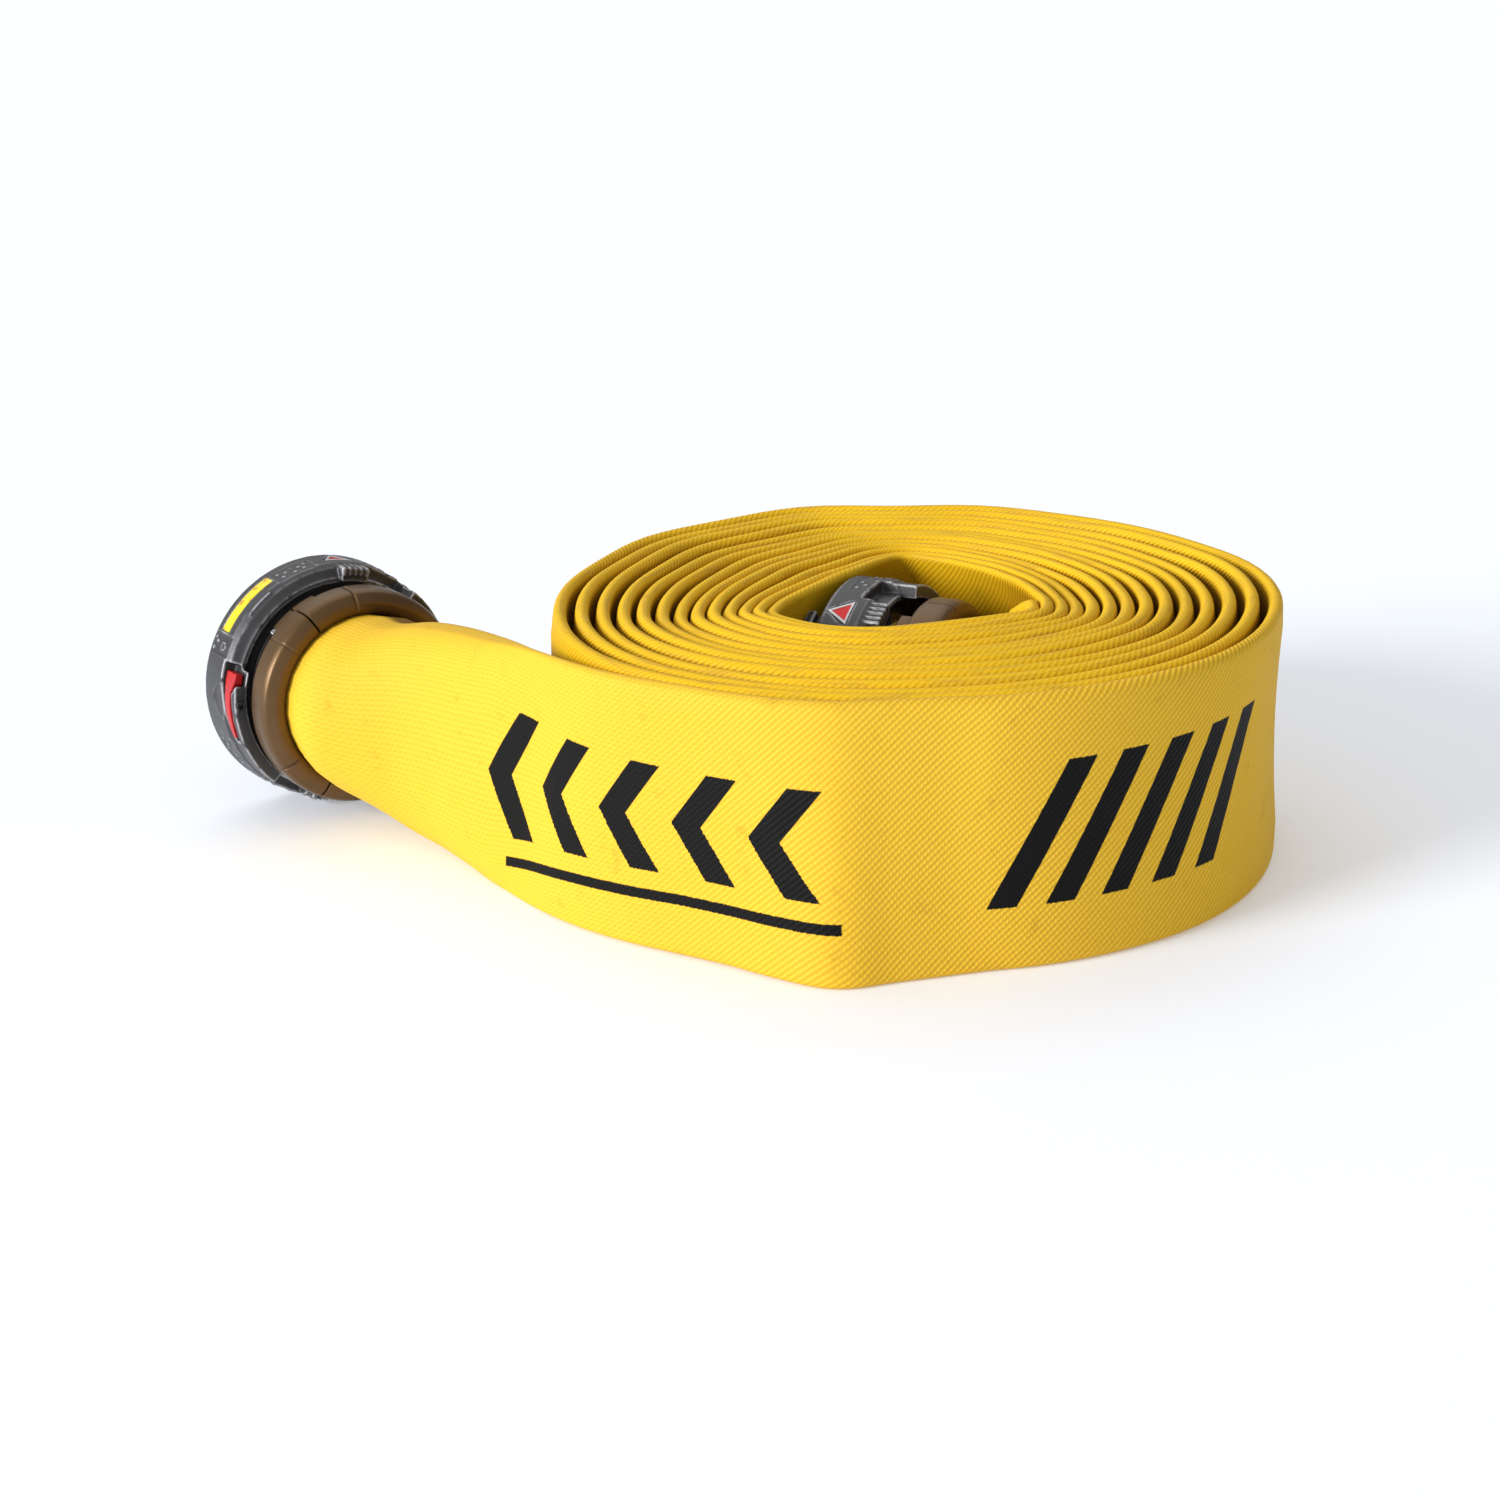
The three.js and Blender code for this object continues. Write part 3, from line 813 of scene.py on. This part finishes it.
class Finish:
    """A principled material under construction, with its surface coordinates at hand."""

    def __init__(self, name, metallic=0.0, specular=0.5, coat=0.0):
        self.material = bpy.data.materials.new(name)
        self.material.use_nodes = True
        self.tree = self.material.node_tree
        self.shader = self.tree.nodes["Principled BSDF"]
        self.shader.inputs["Metallic"].default_value = metallic
        self.shader.inputs["Specular IOR Level"].default_value = specular
        self.shader.inputs["Coat Weight"].default_value = coat
        self.place = self.tree.nodes.new("ShaderNodeTexCoord").outputs["Object"]

    def noise(self, scale, detail=2.0, roughness=0.5):
        return noise(self.tree, self.place, scale, detail, roughness)

    def convex_edges(self, low, high):
        node = self.tree.nodes.new("ShaderNodeNewGeometry")
        return Field(self.tree, node.outputs["Pointiness"]).smooth(low, high)

    def done(self, colour, roughness, height, distance):
        """Links colour and roughness, and bump of this distance in millimetres."""
        self.tree.links.new(colour, self.shader.inputs["Base Color"])
        self.tree.links.new(roughness.socket, self.shader.inputs["Roughness"])
        bump = self.tree.nodes.new("ShaderNodeBump")
        bump.inputs["Distance"].default_value = distance * MM
        self.tree.links.new(height.socket, bump.inputs["Height"])
        self.tree.links.new(bump.outputs[0], self.shader.inputs["Normal"])
        return self.material


def cast_grey():
    finish = Finish("cast_grey", metallic=0.35)
    blotches = finish.noise(45, 4)
    grain = finish.noise(1100, 3, 0.6)
    dull = mixed(finish.tree, blotches, (0.038, 0.038, 0.041), (0.078, 0.078, 0.082))
    # Pale edges: partly wear down to bare metal, partly a painted highlight.
    colour = mixed(finish.tree, finish.convex_edges(0.502, 0.54) * finish.noise(160).smooth(0.3, 0.5),
                   dull, (0.4, 0.4, 0.42))
    return finish.done(colour, blotches * 0.25 + 0.3, grain + blotches * 2, 0.16)


def collar_bronze():
    finish = Finish("collar_bronze", metallic=0.55)
    blotches = finish.noise(40, 4)
    grain = finish.noise(1400, 2)
    brown = mixed(finish.tree, blotches, (0.105, 0.056, 0.02), (0.16, 0.092, 0.036))
    colour = mixed(finish.tree, finish.convex_edges(0.54, 0.64), brown, (0.2, 0.125, 0.06))
    return finish.done(colour, blotches * 0.2 + 0.26, grain, 0.05)


def bare_metal(name, colours, roughness, scale):
    """Metal with fine marks of this scale and a few stains."""
    finish = Finish(name, metallic=1.0)
    marks = finish.noise(scale, 3, 0.7)
    stains = finish.noise(55, 3)
    colour = mixed(finish.tree, stains, *colours)
    return finish.done(colour, marks * 0.15 + stains * 0.12 + roughness, marks, 0.05)


def red_enamel(name, chipped):
    """Enamel with chipped edges, down to pale primer, as far as chipped goes from 0 to 1."""
    finish = Finish(name, specular=0.4)
    tone = finish.noise(120, 3)
    red = mixed(finish.tree, tone, (0.36, 0.003, 0.006), (0.62, 0.010, 0.012))
    worn = finish.convex_edges(0.54, 0.62) * finish.noise(500, 2).smooth(0.45, 0.6) * chipped
    colour = mixed(finish.tree, worn, red, (0.35, 0.2, 0.2))
    return finish.done(colour, tone * 0.2 + 0.28, finish.noise(900, 2), 0.05)


def strip_yellow():
    """Reflective tape: small cells under a clear face, with a few scuffs."""
    finish = Finish("strip_yellow", coat=0.4)
    cells = finish.tree.nodes.new("ShaderNodeTexVoronoi")
    cells.feature = "DISTANCE_TO_EDGE"
    cells.inputs["Scale"].default_value = 900
    finish.tree.links.new(finish.place, cells.inputs["Vector"])
    cell = Field(finish.tree, cells.outputs["Distance"]).smooth(0.0, 0.25)
    scuffs = finish.noise(170, 3).smooth(0.6, 0.68)
    yellow = mixed(finish.tree, cell, (0.85, 0.6, 0.0), (1.0, 0.82, 0.005))
    colour = mixed(finish.tree, scuffs, yellow, (0.6, 0.28, 0.01))
    return finish.done(colour, scuffs * 0.3 + 0.25, cell, 0.03)


def moulded(name, low, high, roughness):
    """Rubber or plastic with a fine moulded grain."""
    finish = Finish(name)
    tone = finish.noise(70, 3)
    texture = finish.noise(1300, 3, 0.6)
    return finish.done(mixed(finish.tree, tone, low, high), tone * 0.2 + roughness, texture, 0.06)


# ---- The hose's own material ----

TWILL_PITCH = 4.6 * MM        # between the slanting ribs, measured along the hose
BEAD_PITCH = 3.3 * MM         # between the stitches along each rib
TWILL_ROUND, BEADS_ROUND, ROWS_ROUND = 82, 64, 120
INK = (0.004, 0.004, 0.004)


def hose_yellow(girth, length):
    """Woven jacket, worn and grimy where turns lie together, with painted shade in the gaps between
    turns and where it shows between each head and collar, a painted sheen on the tail, and the printed
    marks.
    """
    finish = Finish("hose_yellow", specular=0.12)
    tree = finish.tree
    uv = tree.nodes.new("ShaderNodeUVMap")
    uv.uv_map = "hose_uv"
    split = tree.nodes.new("ShaderNodeSeparateXYZ")
    tree.links.new(uv.outputs[0], split.inputs[0])
    along = Field(tree, split.outputs[0])
    around = Field(tree, split.outputs[1])
    upward = around - around.math("GREATER_THAN", girth / 2) * girth

    drift = noise(tree, uv.outputs[0], 14, 2) * (1.6 * MM)
    # Each pattern goes a whole number of times round the girth, so that it closes but for the drift.
    twill = (along + around * (TWILL_ROUND * TWILL_PITCH / girth) + drift).wave(TWILL_PITCH)
    beads = (along - around * (BEADS_ROUND * BEAD_PITCH / girth)).wave(BEAD_PITCH)
    rows = (around + drift * 0.5).wave(girth / ROWS_ROUND)
    # The weave runs straight along the tail, and shows as slanting ribs on the roll.
    rolled = along.smooth(length - 0.2, length - 0.55)
    rolled_weave = twill * (beads * 0.45 + 0.55)
    straight_weave = twill * 0.3 + rows * 0.45 + beads * 0.1
    weave = straight_weave + rolled * (rolled_weave - straight_weave)
    height = upward.math("ABSOLUTE")
    # All but the outer face of the last 1.75 m counts as lying against another turn.
    fold = (height - girth / 4).math("ABSOLUTE").smooth(10 * MM, 5 * MM)
    buried = around.within(girth / 2, girth / 4 - 2 * MM, 2 * MM).math(
        "MAXIMUM", along.smooth(length - 1.75, length - 1.8))
    # Painted shade darkens the flanks in the gaps between turns, and comes nearer the fold in the
    # valleys of the weave.
    gap = (height - girth / 4).math("ABSOLUTE") - weave * (4 * MM)
    weave = weave * (fold * buried * -0.4 + 1) + fold * buried * 0.27

    fade = finish.noise(7, 3)
    grime = finish.noise(55, 5, 0.65)
    gap_shade = gap.smooth(2.5 * MM, 11 * MM) * buried * along.smooth(0.5, 0.7)
    turned = along.smooth(length - 0.55, length - 0.95)
    valley = weave.smooth(0.6, 0.1)
    # On the tail the colour holds a painted sheen in its raised blue; on the roll it is aged.
    fresh_with_sheen = mixed(tree, fade, (0.82, 0.505, 0.035), (0.90, 0.57, 0.045))
    aged = mixed(tree, fade, (0.81, 0.485, 0.009), (0.91, 0.575, 0.012))
    base = mixed(tree, turned, fresh_with_sheen, aged)
    streaks = noise(tree, uv.outputs[0], 1, 3, 0.6, stretch=(22, 260, 1)).smooth(0.5, 0.68)
    base = mixed(tree, streaks * fold * turned * 0.45, base, (0.5, 0.29, 0.05))
    shaded = mixed(tree, valley * (rolled * 0.17 + 0.2), base, (0.42, 0.17, 0.001))
    worn = mixed(tree, fold * weave.smooth(0.45, 0.95) * turned * 0.3, shaded, (0.72, 0.47, 0.08))
    smudged = mixed(tree, grime.smooth(0.58, 0.78) * 0.35, worn, (0.36, 0.19, 0.02))
    from_middle = (along - length / 2).math("ABSOLUTE")
    # Painted shade: the hose goes near black where it shows in the gap between each head and its collar.
    end_shade = from_middle.smooth(length / 2 - 24 * MM, length / 2 - 14 * MM)
    # Painted shade: dark brown on the flanks of the turns, in the gaps between them.
    smudged_and_gap_shaded = mixed(tree, gap_shade * 0.85, smudged, (0.14, 0.05, 0.002))
    smudged_and_shaded = mixed(tree, end_shade, smudged_and_gap_shaded, (0.02, 0.014, 0.008))
    ragged = finish.noise(900, 2) * (1.6 * MM) - 0.8 * MM
    printed = ink(along * -1 + length + ragged, upward + ragged)
    colour = mixed(tree, printed, smudged_and_shaded, INK)
    roughness = grime * 0.15 + 0.5
    relief = rolled * 0.4 - buried * 0.25 + 0.45
    return finish.done(colour, roughness, weave * relief + grime * 0.3, 0.42)


# Printed marks: lengths from the outer end of the hose, heights above the middle of its outer face.
CHEVRON_START, CHEVRON_PITCH, CHEVRON_COUNT = 207 * MM, 54 * MM, 5
CHEVRON_WIDTH, CHEVRON_HEIGHT, CHEVRON_SWEEP = 21 * MM, 33 * MM, 0.75
RULE_MIDDLE, RULE_HALF, RULE_HEIGHT, RULE_THICKNESS = 352 * MM, 127 * MM, -48 * MM, 3.4 * MM
STRIPE_START, STRIPE_PITCH, STRIPE_COUNT = 586 * MM, 35 * MM, 5
STRIPE_WIDTH, STRIPE_HEIGHT, STRIPE_SLANT = 18 * MM, 44 * MM, 0.55
INK_EDGE = 0.35 * MM


def chevrons(along, upward):
    start = along - CHEVRON_START - upward.math("ABSOLUTE") * CHEVRON_SWEEP
    place = start.math("WRAP", CHEVRON_PITCH, 0.0)
    row = CHEVRON_COUNT * CHEVRON_PITCH / 2
    return (place.within(CHEVRON_WIDTH / 2, CHEVRON_WIDTH / 2, INK_EDGE)
            * start.within(row, row, INK_EDGE)
            * upward.within(0, CHEVRON_HEIGHT, INK_EDGE))


def rule(along, upward):
    """A line under the chevrons."""
    return (along.within(RULE_MIDDLE, RULE_HALF, INK_EDGE)
            * upward.within(RULE_HEIGHT, RULE_THICKNESS, INK_EDGE))


def stripes(along, upward):
    """An even row of slanting stripes."""
    start = along - STRIPE_START - upward * STRIPE_SLANT
    place = start.math("WRAP", STRIPE_PITCH, 0.0)
    row = STRIPE_COUNT * STRIPE_PITCH / 2
    return (place.within(STRIPE_WIDTH / 2, STRIPE_WIDTH / 2, INK_EDGE)
            * start.within(row, row, INK_EDGE)
            * upward.within(0, STRIPE_HEIGHT, INK_EDGE))


def ink(along, upward):
    """Where the printed marks are: chevrons over a line, and stripes; none of it is lettering."""
    return chevrons(along, upward).math("MAXIMUM", rule(along, upward)).math(
        "MAXIMUM", stripes(along, upward))


# ---- Coupling pieces in place ----

# Outlines of the turned rings: radius and u.
O_RING = (54.85, 1.2, 22.5)             # radius, wire radius and u
GASKET = (
    (49.5, 0.8), (49.5, 6.2), (58.6, 6.2), (58.6, 2), (56.5, -1.2), (53.8, -0.4), (51.5, -1.2),
)
SWIVEL_RING = ((56.4, 15.8), (56.4, 18.7), (61.5, 18.7), (61.5, 15.8))
RETAINING_RING = ((53.7, 27.7), (53.7, 29.9), (60.5, 29.9), (60.5, 27.7))
STRIP = ((81.6, 9), (81.6, 19), (82.42, 19), (82.42, 9))


def head_frame(end):
    """The coupling's frame turned with its swivel head, whose first lever pivots at LEVER_ANGLE."""
    pivot = FRAMES[end].inverted() @ Vector(JOINTS[f"{end}_lever_1_press"]["pos_m"])
    turn = math.atan2(pivot.y, pivot.x) - math.radians(LEVER_ANGLE)
    return FRAMES[end] @ Matrix.Rotation(turn, 4, "Z")


def put(mesh, node, frame_matrix, turn, body, materials):
    """A copy of the mesh that stands for one CAD node, turned about its coupling's axis."""
    mesh = mesh.copy()
    mesh.transform(frame_matrix @ Matrix.Rotation(math.radians(turn), 4, "Z"))
    for material in materials:
        mesh.materials.append(material)
    piece = linked(f"{node}_fine", mesh)
    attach(piece, body)
    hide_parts(node)


def make_couplings():
    casting, bronze, tape = cast_grey(), collar_bronze(), strip_yellow()
    red, mark_red = red_enamel("lever_red", 1.0), red_enamel("mark_red", 0.0)
    aluminium = bare_metal("shank_aluminium", ((0.5, 0.5, 0.52), (0.68, 0.68, 0.7)), 0.22, 2600)
    steel = bare_metal("fastener_steel", ((0.3, 0.3, 0.31), (0.5, 0.5, 0.52)), 0.2, 1800)
    black_steel = bare_metal("black_steel", ((0.03, 0.03, 0.032), (0.08, 0.08, 0.085)), 0.3, 1800)
    bare = bare_metal("bare_casting", ((0.55, 0.55, 0.57), (0.75, 0.75, 0.77)), 0.25, 900)
    rubber = moulded("seal_rubber", (0.012, 0.012, 0.012), (0.03, 0.03, 0.031), 0.55)
    nylon = moulded("bearing_nylon", (0.62, 0.60, 0.52), (0.78, 0.76, 0.69), 0.35)
    fixed = (
        ("shank", shank_mesh(), 0, "shank_aluminium", aluminium),
        ("face_gasket", ring_mesh("face_gasket", GASKET, 0.8), 0, "seal_rubber", rubber),
        ("swivel_ring", ring_mesh("swivel_ring", SWIVEL_RING, 0.5), 0, "bearing_nylon", nylon),
        ("retaining_ring", ring_mesh("retaining_ring", RETAINING_RING, 0.4, 4, 356), 0,
         "fastener_steel", steel),
        ("swivel_o_ring", mesh_of("swivel_o_ring", lathe(round_ring(*O_RING))), 0,
         "seal_rubber", rubber),
    )
    collar, bolt = collar_mesh(), bolt_mesh()
    thirds = tuple((f"collar_segment_{k + 1}", collar, 30 + 120 * k, "collar_bronze", bronze)
                   for k in range(3))
    bolts = tuple((f"collar_bolt_{k + 1}", bolt, 30 + 120 * k, "fastener_steel", steel)
                  for k in range(3))
    strip = ring_mesh("reflective_strip", STRIP, 0.15, 25, 57)
    head, lever, screw, spring, mark = (head_mesh(), lever_mesh(), lever_screw_mesh(), spring_mesh(),
                                        lock_mark_mesh())
    for end in ("outer", "inner"):
        for name, mesh, turn, slot, material in fixed + thirds + bolts:
            put(mesh, f"{end}_{name}", FRAMES[end], turn, "root", [material])
        turned = head_frame(end)
        put(head, f"{end}_head", turned, 0, f"{end}_head", [casting])
        for k, turn in enumerate(BOTH_SIDES, 1):
            body = f"{end}_head"
            put(lever, f"{end}_lock_lever_{k}", turned, turn, f"{end}_lever_{k}", [red])
            put(screw, f"{end}_lever_screw_{k}", turned, turn, body, [black_steel])
            put(spring, f"{end}_lever_spring_{k}", turned, turn, body, [steel])
            put(strip, f"{end}_reflective_strip_{k}", turned, turn, body, [tape])
            put(mark, f"{end}_lock_mark_{k}", turned, turn, body, [mark_red, bare])


make_couplings()
hose.data.materials.append(hose_yellow(hose_girth, hose_length))


# ---- Floor and light ----

FLOOR_REACH = 1000            # metres, so that its far edge never shows


def make_floor():
    corners = [(FLOOR_REACH * x, FLOOR_REACH * y, 0) for x, y in ((-1, -1), (1, -1), (1, 1), (-1, 1))]
    floor = make_mesh_object("floor", corners, [(0, 1, 2, 3)])
    material = bpy.data.materials.new("floor")
    material.use_nodes = True
    shader = material.node_tree.nodes["Principled BSDF"]
    shader.inputs["Base Color"].default_value = (0.83, 0.87, 0.95, 1)
    shader.inputs["Roughness"].default_value = 0.7
    shader.inputs["Specular IOR Level"].default_value = 0.1
    shader.inputs["Emission Color"].default_value = (1, 1, 1, 1)
    shader.inputs["Emission Strength"].default_value = 0.2
    floor.data.materials.append(material)


def aimed(name, kind, place, energy, **settings):
    """A light at place that points at the middle of the object."""
    data = bpy.data.lights.new(name, kind)
    data.energy = energy
    for setting, value in settings.items():
        setattr(data, setting, value)
    light = bpy.data.objects.new(name, data)
    light.location = place
    light.rotation_euler = (Vector((0, 0, 0.08)) - Vector(place)).to_track_quat("-Z", "Y").to_euler()
    bpy.context.collection.objects.link(light)


BRIGHT_SIDE = (-0.82, -0.5, 0.3)      # where the world is brightest: left, in front and up
WORLD_STRENGTH, WORLD_SWING = 0.46, 0.22
BACKDROP_EXTRA = 0.8                  # more strength where the camera sees the world itself


def make_light():
    """A world brighter to the left and the front, and to the camera, and two soft suns."""
    world = bpy.data.worlds.new("studio")
    bpy.context.scene.world = world
    world.use_nodes = True
    tree = world.node_tree
    background = tree.nodes["Background"]
    background.inputs["Color"].default_value = (1, 1, 1, 1)
    lean = tree.nodes.new("ShaderNodeVectorMath")
    lean.operation = "DOT_PRODUCT"
    lean.inputs[1].default_value = BRIGHT_SIDE
    tree.links.new(tree.nodes.new("ShaderNodeTexCoord").outputs["Generated"], lean.inputs[0])
    seen = Field(tree, tree.nodes.new("ShaderNodeLightPath").outputs["Is Camera Ray"])
    swing = Field(tree, lean.outputs["Value"]) * WORLD_SWING
    strength = swing + WORLD_STRENGTH + seen * BACKDROP_EXTRA
    tree.links.new(strength.socket, background.inputs["Strength"])
    aimed("key", "SUN", (-2.7, -1.5, 1.15), 3.0, angle=math.radians(25))
    aimed("top", "SUN", (-0.2, 1.5, 2.1), 0.55, angle=math.radians(60))
    bpy.context.scene.view_settings.view_transform = "Standard"


make_floor()
make_light()
